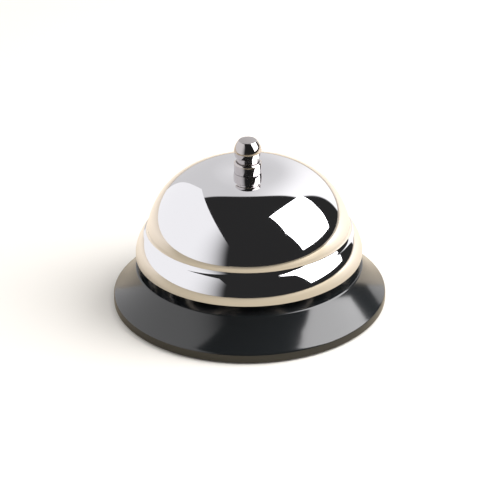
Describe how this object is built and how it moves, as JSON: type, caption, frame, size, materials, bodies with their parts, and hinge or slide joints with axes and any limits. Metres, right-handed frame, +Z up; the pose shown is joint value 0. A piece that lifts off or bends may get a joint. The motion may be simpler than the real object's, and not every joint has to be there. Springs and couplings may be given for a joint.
{
  "type": "service bell",
  "caption": "Push-button counter bell: a mirror-plated gong on an enamelled base, rung from inside by a hammer on a bell-crank that the sprung button swings.",
  "frame": {"origin": "centre of the rubber foot's underside, on the bell's axis", "axes": "+Z up along the bell's axis; the hammer lies in the XZ plane on the +X side"},
  "size_m": [0.085, 0.085, 0.0542],
  "materials": {
    "chrome_plate": "mirror bright nickel-chrome plate on spun steel",
    "nickel_plate": "polished nickel plate on turned brass, a little duller than the gong",
    "black_enamel": "glossy black stoved enamel",
    "zinc_steel": "bright zinc plated sheet steel",
    "turned_steel": "fine turned steel",
    "spring_steel": "drawn spring wire, lightly oiled",
    "turned_brass": "turned brass",
    "vulcan_fibre": "red vulcanised fibre, matt",
    "black_rubber": "moulded black rubber, matt"
  },
  "bodies": {
    "frame": {"base_shell": "black_enamel", "bottom_plate": "zinc_steel", "foot_ring": "black_rubber", "plate_standoffs": "zinc_steel", "plate_screws": "zinc_steel", "post": "turned_steel", "post_lock_washer": "zinc_steel", "post_nut": "zinc_steel", "pivot_bracket": "zinc_steel", "pivot_pin": "turned_steel", "pin_clip": "spring_steel", "pivot_spacers": "turned_brass", "gong_cushion": "vulcan_fibre", "gong": "chrome_plate", "collar_screw": "nickel_plate", "spring_seat": "turned_brass"},
    "plunger": {"plunger_button": "nickel_plate", "plunger_rod": "turned_steel", "rod_stop_ring": "turned_brass", "spring_clip": "spring_steel", "return_spring": "spring_steel"},
    "hammer": {"hammer_lever": "zinc_steel", "hammer_head": "turned_steel", "head_rivet": "turned_brass"}
  },
  "joints": [
    {"name": "plunger_press", "type": "slide", "parent": "frame", "child": "plunger", "axis": [0, 0, -1], "range_m": [0, 0.0012], "stiffness_N_per_m": 400, "springref_m": -0.003, "deforming": ["return_spring"]},
    {"name": "hammer_swing", "type": "hinge", "parent": "frame", "child": "hammer", "pos_m": [0.006, 0, 0.0347], "axis": [0, -1, 0], "range_deg": [0, 15.68]}
  ],
  "couplings": [
    {"joint": "hammer_swing", "follows": "plunger_press", "rad_per_m": 227.98}
  ]
}
